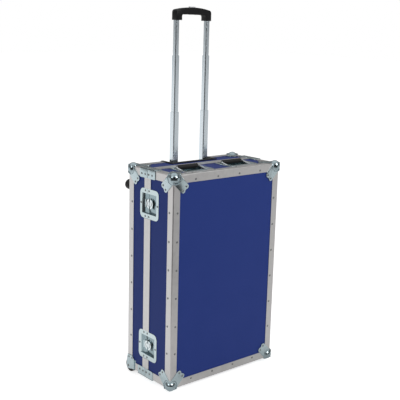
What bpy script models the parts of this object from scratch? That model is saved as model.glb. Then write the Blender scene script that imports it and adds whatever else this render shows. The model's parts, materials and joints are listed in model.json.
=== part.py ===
"""A lighting flight case that stands on its short end, with its pull handle drawn out.

Everything is drawn in the hull's own coordinates: x from the middle of the width, y back from the front
face, z up from the bottom face. One empty then carries it all to the place where it stands on the floor.
"""

from math import acos, atan2, cos, pi, radians, sin, sqrt

import bmesh
import bpy
from mathutils import Matrix, Vector

# Driving dimensions of the case
case_width = 0.510
case_height = 0.790
lid_depth = 0.1485
base_depth = 0.1150
panel_thickness = 0.009
edge_leg = 0.030
edging_sheet = 0.0016
edge_round = 0.003
ground_gap = 0.020
back_reach = 0.030

# Clearances
seat_gap = 0.0003
running_gap = 0.0004
overrun = 0.010
bite = 0.0008
weld_distance = 0.000001

# Closing profile round the parting, with a tongue on the base and a groove in the lid
strip_width = 0.0184
strip_proud = 0.0006
closing_web = 0.004
tongue_inset = 0.0048
tongue_thickness = 0.0025
tongue_height = 0.0016
groove_clearance = 0.0008
groove_depth = 0.0024

# Braces over the corners of the closing profile
brace_length = 0.0445
brace_leg = 0.031
brace_sheet = 0.0014
brace_end_gap = 0.001

# Ball corners
ball_radius = 0.0205
ball_inset = 0.011
collar_radius = 0.0266
collar_rise = 0.003
corner_sheet = 0.0015
lobe_radius = 0.0088
lobe_reach = 0.050
lobe_spread = 0.0073
leg_root_half = 0.011

# Latches in the left side
latch_height = 0.110
latch_from_end = 0.1255
latch_front_reach = 0.0655
latch_back_reach = 0.0445
latch_corner = 0.018
dish_sheet = 0.0015
dish_depth = 0.0094
dish_half = 0.037
dish_front_margin = 0.014
slot_setback = 0.0265
slot_width = 0.006
slot_height = 0.034
keeper_floor_reach = 0.0255
keeper_slope_reach = 0.0325
key_setback = 0.0085
hub_radius = 0.007
hub_top_depth = 0.0056
lug_half = 0.0012
lug_length = 0.0136
lug_top_depth = 0.0028
wing_radius = 0.0185
wing_thickness = 0.0022
wing_pivot_offset = 0.0031
wing_pivot_depth = 0.0039
wing_knuckle_radius = 0.0013
wing_slot_inner = 0.0105
wing_slot_outer = 0.013
wing_slot_half_angle = radians(52)
hook_sheet = 0.0015
hook_half = 0.014
hook_bar = 0.0055
hook_tilt = radians(3.6)
catch_setback = 0.0138
catch_thickness = 0.0025
catch_half = 0.008
catch_rise = 0.0026

# Long hinge on the right side
hinge_length = 0.600
hinge_knuckle = 0.050
hinge_leaf_reach = 0.024
hinge_sheet = 0.0015
hinge_barrel_radius = 0.0044
hinge_pin_radius = 0.002
hinge_pin_out = 0.0014

# Carrying handles in the top of the lid
handle_spacing = 0.216
handle_width = 0.142
handle_margin = 0.0013
handle_corner = 0.014
handle_dish_width = 0.112
handle_front_border = 0.01875
handle_back_border = 0.00675
handle_dish_corner = 0.006
handle_dish_drop = 0.016
bail_wire = 0.0035
bail_bend = 0.0045
bail_stub_end = 0.0014
bail_arm_start = 0.0021
bail_half = 0.0518
bail_pivot_inset = 0.010
bail_pivot_drop = 0.0055
grip_bar_inset = 0.014
grip_bar_rise = 0.003
grip_bar_radius = 0.0088
grip_bar_round = 0.0023
grip_bar_length = 0.094

# Pull handle: housing in the top and back of the base
pocket_width = 0.200
pocket_reach = 0.055
pocket_drop = 0.055
bezel_side = 0.011
bezel_front = 0.0155
bezel_bottom = 0.020
bezel_proud = 0.002
bezel_corner = 0.012
pocket_wall = 0.0025
tube_spacing = 0.145
tube_from_back = 0.0305
collar_rise = 0.008
tube_wall = 0.0016
tube_round = 0.0035
grip_tube_size = 0.017
grip_travel = 0.127
middle_travel = 0.207
outer_travel = 0.234
tube_overlap = 0.052
fixed_tube_length = 0.303
foot_plate_thickness = 0.003
foot_plate_margin = 0.012
grip_socket = 0.018

# Pull handle: grip and button
grip_width = 0.165
grip_leg = 0.026
grip_thickness = 0.027
grip_arch = 0.0205
grip_height = 0.0465
grip_crown = 0.008
grip_shoulder = 0.011
grip_round = 0.006
finger_ripple = 0.0011
finger_count = 4
button_length = 0.027
button_width = 0.013
button_height = 0.009
button_corner = 0.0043
button_edge = 0.0012
button_proud = 0.0035
button_travel = 0.003

# Castor corners
wheel_radius = 0.026
wheel_width = 0.024
wheel_round = 0.004
tread_radius = 0.012
axle_inset = 0.006
axle_radius = 0.004
castor_width = 0.044
castor_wall = 0.002
cup_inset = 0.002
cup_front = 0.0495
cup_height = 0.0385
wheel_side_gap = 0.003
plate_front = 0.043
plate_top = 0.054
plate_corner = 0.013
plate_sheet = 0.0016
plate_nose = 0.012

# How far the middle of a rounded corner stands in from its sharp point, as a share of the round
bend_middle_share = 0.3

# Feet
back_foot_radius = 0.0205
back_foot_inset = 0.0208
back_foot_from_top = 0.0785
front_foot_radius = 0.017
front_foot_inset = 0.074
foot_taper = 0.002

# Places worked out from the sizes above
half_width = case_width / 2
case_depth = lid_depth + base_depth
panel_inset = edging_sheet + seat_gap
panel_inner = panel_inset + panel_thickness
parting = lid_depth
parting_half_gap = seat_gap / 2
channel_inner = panel_inner + seat_gap
closing_inner = channel_inner + edging_sheet
dish_face = panel_inset - seat_gap - dish_sheet
key_y = parting - key_setback
tube_y = case_depth - tube_from_back
handle_front = edge_leg + handle_margin
handle_back = parting - strip_width - handle_margin
recess_front = handle_front + handle_front_border
recess_back = handle_back - handle_back_border
bail_pivot_y = recess_front + bail_pivot_inset
grip_bar_y = recess_back - grip_bar_inset
pocket_floor = case_height - pocket_drop
pocket_front = case_depth - pocket_reach
tube_rest = pocket_floor + collar_rise
middle_tube_size = grip_tube_size + 2 * (running_gap + tube_wall)
outer_tube_size = middle_tube_size + 2 * (running_gap + tube_wall)
fixed_tube_size = outer_tube_size + 2 * (running_gap + tube_wall)
outer_tip = tube_rest + outer_travel
middle_tip = outer_tip + middle_travel
grip_foot = middle_tip + grip_travel
axle_y = case_depth - axle_inset
axle_z = axle_inset


def material(name, colour, roughness, metallic=0.0):
    made = bpy.data.materials.new(name)
    made.use_nodes = True
    shader = made.node_tree.nodes["Principled BSDF"]
    shader.inputs["Base Color"].default_value = (*colour, 1.0)
    shader.inputs["Roughness"].default_value = roughness
    shader.inputs["Metallic"].default_value = metallic
    return made


def piece(name, shape, location=(0, 0, 0), finish=None, turn=None):
    """An object from a bmesh. Without a finish it is a shape that only cuts or joins."""
    mesh = bpy.data.meshes.new(name)
    shape.to_mesh(mesh)
    shape.free()
    return place(name, mesh, location, finish, turn)


def place(name, mesh, location, finish, turn=None):
    made = bpy.data.objects.new(name, mesh)
    made.location = location
    if turn:
        made.rotation_euler = turn.to_euler()
    made.parent = hull
    if finish:
        parts.objects.link(made)
        mesh.materials.clear()
        mesh.materials.append(finish)
    else:
        tools.objects.link(made)
        made.hide_render = True
        made.display_type = "WIRE"
    return made


def box(name, corner, opposite, finish=None):
    corner, opposite = Vector(corner), Vector(opposite)
    size = [abs(far - near) for near, far in zip(corner, opposite)]
    shape = bmesh.new()
    bmesh.ops.create_cube(shape, size=1)
    bmesh.ops.scale(shape, vec=size, verts=shape.verts)
    return piece(name, shape, (corner + opposite) / 2, finish)


def rod(name, start, end, radius, finish=None, sides=24, end_radius=None):
    """A round bar or cone between two points."""
    start, end = Vector(start), Vector(end)
    shape = bmesh.new()
    far = radius if end_radius is None else end_radius
    bmesh.ops.create_cone(
        shape, cap_ends=True, segments=sides, radius1=radius, radius2=far, depth=(end - start).length
    )
    turn = (end - start).to_track_quat("Z", "Y").to_matrix()
    made = piece(name, shape, (start + end) / 2, finish, turn)
    made.data.shade_smooth()
    made.data.set_sharp_from_angle(angle=radians(40))
    return made


# The plane that an outline is drawn in, as a turn from the flat curve's own x, y and thickness
in_top = Matrix.Identity(3)
in_side = Matrix(((0, 0, 1), (1, 0, 0), (0, 1, 0)))
in_front = Matrix(((1, 0, 0), (0, 0, -1), (0, 1, 0)))
in_plan = Matrix(((0, 1, 0), (1, 0, 0), (0, 0, -1)))


def plate(name, outlines, thickness, centre, plane, finish=None):
    """A flat plate from closed outlines, the first the edge and the others holes."""
    curve = bpy.data.curves.new(name, "CURVE")
    curve.dimensions = "2D"
    curve.fill_mode = "BOTH"
    curve.extrude = thickness / 2
    for outline in outlines:
        spline = curve.splines.new("POLY")
        spline.points.add(len(outline) - 1)
        for point, (across, up) in zip(spline.points, outline):
            point.co = (across, up, 0, 1)
        spline.use_cyclic_u = True
    return from_curve(name, curve, centre, plane, finish)


def from_curve(name, curve, centre, plane, finish):
    """Turns a curve into a closed mesh, because only a mesh can be cut."""
    drawn = bpy.data.objects.new(name + "_curve", curve)
    tools.objects.link(drawn)
    graph = bpy.context.evaluated_depsgraph_get()
    mesh = bpy.data.meshes.new_from_object(drawn.evaluated_get(graph))
    bpy.data.objects.remove(drawn)
    shape = bmesh.new()
    shape.from_mesh(mesh)
    bmesh.ops.remove_doubles(shape, verts=shape.verts, dist=weld_distance)
    bmesh.ops.recalc_face_normals(shape, faces=shape.faces)
    shape.to_mesh(mesh)
    shape.free()
    return place(name, mesh, centre, finish, plane)


def arc(centre, radius, start, end, steps):
    return [
        (
            centre[0] + radius * cos(start + (end - start) * step / steps),
            centre[1] + radius * sin(start + (end - start) * step / steps),
        )
        for step in range(steps + 1)
    ]


def rounded(width, height, radius, steps=4, middle=(0, 0)):
    """The outline of a rectangle with round corners."""
    outline = []
    for quarter, (side, end) in enumerate(((1, 1), (-1, 1), (-1, -1), (1, -1))):
        centre = (
            middle[0] + side * (width / 2 - radius),
            middle[1] + end * (height / 2 - radius),
        )
        outline += arc(centre, radius, quarter * pi / 2, (quarter + 1) * pi / 2, steps)
    return outline


def wire(name, points, radius, finish=None):
    """A bent round wire with filled ends, through the given points."""
    curve = bpy.data.curves.new(name, "CURVE")
    curve.dimensions = "3D"
    curve.bevel_depth = radius
    curve.bevel_resolution = 2
    curve.use_fill_caps = True
    spline = curve.splines.new("POLY")
    spline.points.add(len(points) - 1)
    for point, place_of in zip(spline.points, points):
        point.co = (*place_of, 1)
    return from_curve(name, curve, (0, 0, 0), None, finish)


def turned_ring(name, profile, centre, plane, finish=None, steps=24):
    """A ring turned about the plane's thickness axis, from a closed profile of (radius, height) points."""
    shape = bmesh.new()
    line = [shape.verts.new((radius, 0, height)) for radius, height in profile]
    edges = [shape.edges.new(pair) for pair in zip(line, line[1:] + line[:1])]
    bmesh.ops.spin(
        shape,
        geom=line + edges,
        cent=(0, 0, 0),
        axis=(0, 0, 1),
        angle=2 * pi,
        steps=steps,
        use_merge=True,
    )
    bmesh.ops.recalc_face_normals(shape, faces=shape.faces)
    made = piece(name, shape, centre, finish, plane)
    made.data.shade_smooth()
    made.data.set_sharp_from_angle(angle=radians(40))
    return made


def boolean(target, other, operation):
    change = target.modifiers.new(other.name, "BOOLEAN")
    change.operation = operation
    change.object = other
    change.solver = "EXACT"


def cut(target, *cutters):
    for cutter in cutters:
        boolean(target, cutter, "DIFFERENCE")


def join(target, *others):
    for other in others:
        boolean(target, other, "UNION")


def bevel(target, width, segments=2, angle=40):
    rounding = target.modifiers.new("bevel", "BEVEL")
    rounding.width = width
    rounding.segments = segments
    rounding.limit_method = "ANGLE"
    rounding.angle_limit = radians(angle)
    rounding.use_clamp_overlap = True


def pivot_at(target, point):
    """Moves an object's origin to its joint and leaves its shape where it is."""
    bpy.context.view_layer.update()
    local = hull.matrix_world.inverted() @ target.matrix_world
    target.data.transform(Matrix.Translation(-Vector(point)) @ local)
    target.rotation_euler = (0, 0, 0)
    target.location = point


def make_panels(half, face, inward):
    """The five laminated panels of one half. Face is its closed side, and inward points to the parting."""
    outer = face + inward * panel_inset
    inner = outer + inward * panel_thickness
    start = inner + inward * seat_gap
    end = parting - inward * (parting_half_gap + closing_web + seat_gap)
    side = half_width - panel_inset
    side_inner = side - panel_thickness
    low, high = panel_inset, case_height - panel_inset
    closed = "front" if half == "lid" else "back"
    made = {
        closed: box(f"{half}_{closed}_panel", (-side, outer, low), (side, inner, high), laminate)
    }
    for name, sign in (("left", -1), ("right", 1)):
        made[name] = box(
            f"{half}_{name}_panel", (sign * side, start, low), (sign * side_inner, end, high), laminate
        )
    across = side_inner - seat_gap
    for name, near, far in (
        ("bottom", low, low + panel_thickness),
        ("top", high - panel_thickness, high),
    ):
        made[name] = box(f"{half}_{name}_panel", (-across, start, near), (across, end, far), laminate)
    return made


def edge_frame(name, face, inward, end_gap, finish=None):
    """The angle edges of one half as one frame: a thin box with its windows cut out."""
    end = parting - inward * (strip_width + end_gap)
    past = parting + inward * overrun
    near = face + inward * edging_sheet
    leg = face + inward * edge_leg
    side = half_width - edging_sheet
    high = case_height + overrun
    frame = box(name, (-half_width, face, 0), (half_width, past, case_height), finish)
    bevel(frame, edge_round, 3)
    far = past + inward * overrun
    cut(
        frame,
        box(name + "_inside", (-side, near, edging_sheet), (side, far, case_height - edging_sheet)),
        box(
            name + "_face_window",
            (edge_leg - half_width, face - inward * overrun, edge_leg),
            (half_width - edge_leg, near + inward * overrun, case_height - edge_leg),
        ),
        box(
            name + "_side_windows",
            (-half_width - overrun, leg, edge_leg),
            (half_width + overrun, far, case_height - edge_leg),
        ),
        box(
            name + "_end_windows",
            (edge_leg - half_width, leg, -overrun),
            (half_width - edge_leg, far, high),
        ),
        box(
            name + "_mouth",
            (-half_width - overrun, end, -overrun),
            (half_width + overrun, far, high),
        ),
    )
    return frame


def make_base_edging():
    """The base's edges: the castors and the pull handle part them into a left, a right and a bottom piece."""
    cup_top = cup_height + seat_gap
    high = case_height + overrun
    back = case_depth + overrun
    out = half_width + overrun
    bottom_half = half_width - castor_width - seat_gap
    regions = {
        "base_left_edging": ((-out, parting, cup_top), (0, back, high)),
        "base_right_edging": ((out, parting, cup_top), (0, back, high)),
        "base_bottom_edging": (
            (-bottom_half, case_depth - edge_leg - bite, -overrun),
            (bottom_half, back, edge_leg + bite),
        ),
    }
    frames = []
    for name, corners in regions.items():
        frame = edge_frame(name, case_depth, -1, seat_gap, aluminium)
        boolean(frame, box(name + "_region", *corners), "INTERSECT")
        frames.append(frame)
    stubs = edge_frame("base_bottom_stubs", case_depth, -1, -bite)
    region = ((-out, parting, -overrun), (out, case_depth - cup_front - seat_gap, edge_leg + bite))
    boolean(stubs, box("base_bottom_stubs_region", *region), "INTERSECT")
    return frames, stubs


def make_closing_profile(half, away):
    """The profile round the parting: a section turned in four steps, then drawn out to the case's size."""
    gap = parting_half_gap
    flange = edging_sheet - seat_gap / 2
    section = [
        (-strip_proud, gap),
        (-strip_proud, strip_width),
        (flange, strip_width),
        (flange, closing_web),
        (channel_inner, closing_web),
        (channel_inner, strip_width),
        (closing_inner, strip_width),
        (closing_inner, gap),
    ]
    if half == "lid":
        near, far = tongue_inset - groove_clearance, tongue_inset + tongue_thickness + groove_clearance
        section += [(far, gap), (far, groove_depth), (near, groove_depth), (near, gap)]
    else:
        near, far = tongue_inset, tongue_inset + tongue_thickness
        section += [(far, gap), (far, -tongue_height), (near, -tongue_height), (near, gap)]
    shape = bmesh.new()
    corner = edge_leg
    loop = [
        shape.verts.new((corner - inwards, away * along, corner - inwards)) for inwards, along in section
    ]
    edges = [shape.edges.new((a, b)) for a, b in zip(loop, loop[1:] + loop[:1])]
    bmesh.ops.spin(
        shape,
        geom=loop + edges,
        cent=(0, 0, 0),
        axis=(0, 1, 0),
        angle=2 * pi,
        steps=4,
        use_merge=True,
    )
    for vert in shape.verts:
        vert.co.x += (half_width - corner) * (1 if vert.co.x > 0 else -1)
        vert.co.z += (case_height / 2 - corner) * (1 if vert.co.z > 0 else -1)
    bmesh.ops.recalc_face_normals(shape, faces=shape.faces)
    profile = piece(f"{half}_closing_profile", shape, (0, parting, case_height / 2), aluminium)
    join(profile, make_braces(half, away))
    return profile


def make_braces(half, away):
    """Four angle braces over the corners, cut from one sleeve round the case."""
    skin = seat_gap + brace_sheet
    near, far = parting + away * brace_end_gap, parting + away * brace_length
    out, top = half_width + skin, case_height + skin
    braces = box(f"{half}_braces", (-out, near, -skin), (out, far, top))
    bevel(braces, edge_round, 2)
    start, past = near - away * overrun, far + away * overrun
    seat = half_width + seat_gap
    cut(
        braces,
        box(f"{half}_brace_seat", (-seat, start, -seat_gap), (seat, past, case_height + seat_gap)),
        box(
            f"{half}_brace_sides",
            (-out - overrun, start, brace_leg),
            (out + overrun, past, case_height - brace_leg),
        ),
        box(
            f"{half}_brace_ends",
            (brace_leg - half_width, start, -overrun),
            (half_width - brace_leg, past, top + overrun),
        ),
    )
    return braces


def corner_leg_outline():
    """A leg of a ball corner, from the ball out along the diagonal to two round lobes."""
    reach, spread = lobe_reach * sqrt(2), lobe_spread * sqrt(2)
    inner = ball_inset * sqrt(2)
    outline = [(inner, leg_root_half), (inner, -leg_root_half)]
    slant = atan2(spread + lobe_radius - leg_root_half, reach - inner)
    outline += arc((reach, -spread), lobe_radius, slant - pi / 2, pi / 4, 6)
    outline += arc((reach, spread), lobe_radius, -pi / 4, pi / 2 - slant, 6)
    turned_by = pi / 4
    return [
        (u * cos(turned_by) - v * sin(turned_by), u * sin(turned_by) + v * cos(turned_by))
        for u, v in outline
    ]


def make_collar(name, corner_point, inward):
    """The raised ring round the ball on each face: a larger ball, sliced off just above the faces."""
    shape = bmesh.new()
    bmesh.ops.create_uvsphere(shape, u_segments=22, v_segments=14, radius=collar_radius)
    collar = piece(name + "_collar", shape, corner_point + inward * ball_inset)
    reach = ball_inset + collar_radius + overrun
    sliced = (corner_point - inward * collar_rise, corner_point + inward * reach)
    boolean(collar, box(name + "_collar_room", *sliced), "INTERSECT")
    return collar


def make_ball_corner(name, side, depth_end, height_end, cuts):
    """A steel ball over a corner of the hull, with a riveted leg on each of the three faces."""
    inward = Vector((-side, -depth_end, -height_end))
    corner_point = Vector(
        (
            side * half_width,
            case_depth if depth_end > 0 else 0,
            case_height if height_end > 0 else 0,
        )
    )
    x, y, z = corner_point
    shape = bmesh.new()
    bmesh.ops.create_uvsphere(shape, u_segments=20, v_segments=12, radius=ball_radius)
    corner = piece(name, shape, corner_point + inward * ball_inset, zinc)
    outline = corner_leg_outline()
    lift = seat_gap + corner_sheet / 2
    in_side_face = [(-depth_end * u, -height_end * v) for u, v in outline]
    in_front_face = [(-side * u, -height_end * v) for u, v in outline]
    in_top_face = [(-side * u, -depth_end * v) for u, v in outline]
    join(
        corner,
        plate(name + "_side_leg", [in_side_face], corner_sheet, (x + side * lift, y, z), in_side),
        plate(name + "_face_leg", [in_front_face], corner_sheet, (x, y + depth_end * lift, z), in_front),
        plate(name + "_end_leg", [in_top_face], corner_sheet, (x, y, z + height_end * lift), in_top),
    )
    join(corner, make_collar(name, corner_point, inward))
    seat = box(name + "_seat", corner_point - inward * seat_gap, corner_point + inward * (2 * lobe_reach))
    plug = corner_point + inward * panel_inner
    cut(seat, box(name + "_plug", corner_point - inward * overrun, plug))
    cut(corner, seat)
    notch = corner_point + inward * (panel_inner + seat_gap)
    for target in cuts:
        cut(target, box(f"{name}_{target.name}", corner_point - inward * overrun, notch))


def make_latch(name, z, lid_cut, base_cut, closing_cut):
    """A recessed turn latch across the parting: two dishes, a hub with two wings, and the hook it draws."""
    face = -half_width + dish_face
    floor = -half_width + dish_depth
    under = floor + dish_sheet
    front, back = parting - latch_front_reach, parting + latch_back_reach
    outline = rounded(back - front, latch_height, latch_corner, 4, ((front + back) / 2, z))
    outer = dish_half + dish_sheet
    start = front + dish_front_margin
    slope_end = parting + keeper_slope_reach
    floor_end = parting + keeper_floor_reach
    split = parting_half_gap
    above = latch_height / 2 + overrun
    out = -half_width - overrun
    deep = under + overrun

    lid_dish = plate(name + "_lid_dish", [outline], dish_sheet, (face + dish_sheet / 2, 0, 0), in_side, zinc)
    keeper = plate(name + "_keeper_dish", [outline], dish_sheet, (face + dish_sheet / 2, 0, 0), in_side, zinc)
    join(
        lid_dish,
        box(
            name + "_lid_tray",
            (face + bite, start - dish_sheet, z - outer),
            (under, parting + overrun, z + outer),
        ),
    )
    cut(
        lid_dish,
        box(name + "_lid_recess", (out, start, z - dish_half), (floor, back, z + dish_half)),
        box(name + "_lid_split", (out, parting - split, z - above), (deep, back + overrun, z + above)),
        box(
            name + "_lid_slot",
            (floor - bite, parting - slot_setback - slot_width / 2, z - slot_height / 2),
            (under + bite, parting - slot_setback + slot_width / 2, z + slot_height / 2),
        ),
    )
    tray = [
        (parting - overrun, face + bite),
        (slope_end + dish_sheet, face + bite),
        (floor_end + dish_sheet, under),
        (parting - overrun, under),
    ]
    recess = [
        (front, out),
        (slope_end + (slope_end - floor_end) * (face - out) / (floor - face), out),
        (floor_end, floor),
        (front, floor),
    ]
    catch = parting + catch_setback
    catch_top = floor - catch_rise
    join(keeper, plate(name + "_keeper_tray", [tray], 2 * outer, (0, 0, z), in_plan))
    cut(
        keeper,
        plate(name + "_keeper_recess", [recess], 2 * dish_half, (0, 0, z), in_plan),
        box(name + "_keeper_split", (out, front - overrun, z - above), (deep, parting + split, z + above)),
    )
    join(
        keeper,
        box(
            name + "_catch",
            (catch_top, catch, z - catch_half),
            (floor + bite, catch + catch_thickness, z + catch_half),
        ),
    )

    clear = seat_gap + outer
    cut(
        lid_cut,
        box(
            name + "_lid_panel_cut",
            (out, start - dish_sheet - seat_gap, z - clear),
            (deep, parting + overrun, z + clear),
        ),
    )
    cut(
        base_cut,
        box(
            name + "_base_panel_cut",
            (out, parting - overrun, z - clear),
            (deep, slope_end + 2 * dish_sheet + seat_gap, z + clear),
        ),
    )
    notch = latch_height / 2 + seat_gap
    notch_floor = -half_width + (channel_inner + panel_inner) / 2
    for profile in closing_cut:
        cut(
            profile,
            box(
                f"{name}_{profile.name}_notch",
                (out, parting - latch_front_reach, z - notch),
                (notch_floor, parting + latch_front_reach, z + notch),
            ),
        )

    hub_base = floor - seat_gap
    hub_top = -half_width + hub_top_depth
    lug_top = -half_width + lug_top_depth
    hub = rod(name + "_hub", (hub_base, key_y, z), (hub_top, key_y, z), hub_radius, zinc)
    join(
        hub,
        box(
            name + "_lug",
            (lug_top, key_y - lug_half, z - lug_length / 2),
            (hub_top + bite, key_y + lug_half, z + lug_length / 2),
        ),
    )
    pivot_at(hub, (hub_base, key_y, z))
    for wing_name, way in (("front_wing", -1), ("rear_wing", 1)):
        make_wing(f"{name}_{wing_name}", z, way)
    make_hook(name + "_hook", z, hub_base)


def make_wing(name, z, way):
    """One folded wing of the key: half a disc with a finger slot, on a knuckle beside the lug."""
    pivot = Vector((-half_width + wing_pivot_depth, key_y + way * wing_pivot_offset, z))
    half_angle = acos(wing_pivot_offset / wing_radius)
    rim = arc((key_y, z), wing_radius, -half_angle, half_angle, 12)
    outer = arc((key_y, z), wing_slot_outer, -wing_slot_half_angle, wing_slot_half_angle, 6)
    inner = arc((key_y, z), wing_slot_inner, wing_slot_half_angle, -wing_slot_half_angle, 6)
    outlines = [
        [(key_y + way * (y - key_y), up) for y, up in outline] for outline in (rim, outer + inner)
    ]
    wing = plate(name, outlines, wing_thickness, (pivot.x, 0, 0), in_side, zinc)
    reach = lug_length / 2
    join(
        wing,
        rod(
            name + "_knuckle",
            pivot - Vector((0, 0, reach)),
            pivot + Vector((0, 0, reach)),
            wing_knuckle_radius,
            sides=12,
        ),
    )
    pivot_at(wing, pivot)


def make_hook(name, z, under):
    """The hook round the hub, stored released. It is bent up over the catch, with a lip to go behind it."""
    hole = hub_radius + 2 * seat_gap
    start = key_y - hole - hook_bar
    bend = key_y + wing_radius + bite
    over = -half_width + dish_depth - catch_rise - seat_gap
    rise = under - over
    lip = parting + catch_setback + catch_thickness + 2 * seat_gap
    lip_end = -half_width + dish_depth - 2 * seat_gap
    outline = [
        (start, under),
        (bend, under),
        (bend + rise, over),
        (lip, over),
        (lip, lip_end),
        (lip + hook_sheet, lip_end),
        (lip + hook_sheet, over - hook_sheet),
        (bend + rise, over - hook_sheet),
        (bend, under - hook_sheet),
        (start, under - hook_sheet),
    ]
    hook = plate(name, [outline], 2 * hook_half, (0, 0, z), in_plan, zinc)
    round_hole = rod(
        name + "_hole", (under - hook_sheet - bite, key_y, z), (under + bite, key_y, z), hole
    )
    cut(hook, round_hole)
    for shape in (hook, round_hole):
        pivot_at(shape, (under - hook_sheet / 2, start, z))
        shape.rotation_euler = (0, 0, hook_tilt)


def make_hinge(closing_profiles):
    """The long hinge over the parting on the right. Its pin is fixed in the base leaf's knuckles."""
    leaf_x = half_width + strip_proud + seat_gap
    middle = case_height / 2
    axis = Vector((half_width + hinge_pin_out, parting, middle))
    count = 2 * round(hinge_length / hinge_knuckle / 2) + 1
    pitch = hinge_length / count
    low = middle - hinge_length / 2
    clear = hinge_barrel_radius + 2 * seat_gap
    half_long = Vector((0, 0, hinge_length / 2))
    for half, away, first in (("lid", -1, 1), ("base", 1, 0)):
        name = f"hinge_{half}_leaf"
        far = parting + away * hinge_leaf_reach
        leaf = box(
            name,
            (leaf_x, parting, low),
            (leaf_x + hinge_sheet, far, low + hinge_length),
            zinc,
        )
        join(leaf, rod(name + "_barrel", axis - half_long, axis + half_long, hinge_barrel_radius, sides=16))
        for number in range(1 - first, count, 2):
            start = low + number * pitch - seat_gap / 2
            end = low + (number + 1) * pitch + seat_gap / 2
            if number == 0:
                start -= overrun
            if number == count - 1:
                end += overrun
            cut(
                leaf,
                rod(
                    f"{name}_gap_{number}",
                    (axis.x, axis.y, start),
                    (axis.x, axis.y, end),
                    clear,
                    sides=20,
                ),
            )
        if half == "lid":
            past = half_long + Vector((0, 0, overrun))
            bore = hinge_pin_radius + seat_gap
            cut(leaf, rod("hinge_bore", axis - past, axis + past, bore, sides=12))
        else:
            pin_end = half_long - Vector((0, 0, bite))
            join(leaf, rod("hinge_pin", axis - pin_end, axis + pin_end, hinge_pin_radius, sides=12))
        pivot_at(leaf, axis)
    past = half_long + Vector((0, 0, 2 * seat_gap))
    for profile in closing_profiles:
        cut(profile, rod(f"hinge_groove_{profile.name}", axis - past, axis + past, clear))


def make_carrying_handle(name, x, lid_top_panel):
    """A sprung carrying handle: dish let into the panel, steel bail, and a rubber grip on it."""
    face = case_height - dish_face
    middle = (handle_front + handle_back) / 2
    floor = case_height - handle_dish_drop
    tray_middle = (recess_front + recess_back) / 2
    recess_length = recess_back - recess_front
    dish = plate(
        name + "_dish",
        [rounded(handle_width, handle_back - handle_front, handle_corner, 4, (x, middle))],
        dish_sheet,
        (0, 0, face - dish_sheet / 2),
        in_top,
        zinc,
    )
    wall = 2 * dish_sheet
    tray_deep = face - bite - (floor - dish_sheet)
    tray = plate(
        name + "_tray",
        [
            rounded(
                handle_dish_width + wall,
                recess_length + wall,
                handle_dish_corner + dish_sheet,
                3,
                (x, tray_middle),
            )
        ],
        tray_deep,
        (0, 0, floor - dish_sheet + tray_deep / 2),
        in_top,
    )
    recess_deep = face + overrun - floor
    recess = plate(
        name + "_recess",
        [rounded(handle_dish_width, recess_length, handle_dish_corner, 3, (x, tray_middle))],
        recess_deep,
        (0, 0, floor + recess_deep / 2),
        in_top,
    )
    join(dish, tray)
    cut(dish, recess)
    panel_clear = wall + 2 * seat_gap
    opening = plate(
        name + "_panel_cut",
        [
            rounded(
                handle_dish_width + panel_clear,
                recess_length + panel_clear,
                handle_dish_corner + dish_sheet + seat_gap,
                3,
                (x, tray_middle),
            )
        ],
        2 * (panel_inner + overrun),
        (0, 0, case_height),
        in_top,
    )
    cut(lid_top_panel, opening)

    pivot = Vector((x, bail_pivot_y, case_height - bail_pivot_drop))
    bar_z = case_height + grip_bar_rise
    seat = handle_dish_width / 2 - seat_gap
    route = []
    for sign in (-1, 1):
        arm_x = x + sign * bail_half
        arm = Vector((0, grip_bar_y - pivot.y, bar_z - pivot.z))
        along = arm.normalized()
        stub = [
            Vector((x + sign * seat, pivot.y, pivot.z)),
            Vector((arm_x + sign * bail_stub_end, pivot.y, pivot.z)),
            Vector((arm_x, pivot.y, pivot.z)) + along * bail_arm_start,
        ]
        elbow = Vector((arm_x, grip_bar_y, bar_z))
        turn = [
            elbow - along * bail_bend,
            elbow - (along + Vector((sign, 0, 0))) * bail_bend * bend_middle_share,
            elbow - Vector((sign * bail_bend, 0, 0)),
        ]
        run = stub + turn
        route += run if sign < 0 else run[::-1]
    bail = wire(name + "_bail", route, bail_wire, chrome)
    pivot_at(bail, pivot)
    half_bar = grip_bar_length / 2
    bore = bail_wire + seat_gap
    soft = grip_bar_round
    profile = [
        (bore, half_bar),
        (grip_bar_radius - soft, half_bar),
        (grip_bar_radius, half_bar - soft),
        (grip_bar_radius, soft - half_bar),
        (grip_bar_radius - soft, -half_bar),
        (bore, -half_bar),
    ]
    grip = turned_ring(name + "_grip", profile, (x, grip_bar_y, bar_z), in_side, rubber, 16)
    pivot_at(grip, pivot)


def square_tube(name, size, length, x, top, finish):
    """A drawn tube of rounded square section, hanging down from its tip."""
    outer = rounded(size, size, tube_round, 3)
    inner = rounded(size - 2 * tube_wall, size - 2 * tube_wall, tube_round - tube_wall / 2, 3)
    centre = (x, tube_y, top - length / 2)
    tube = plate(name, [outer, inner], length, centre, in_top, finish)
    if finish:
        pivot_at(tube, (x, tube_y, top))
    return tube


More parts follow.
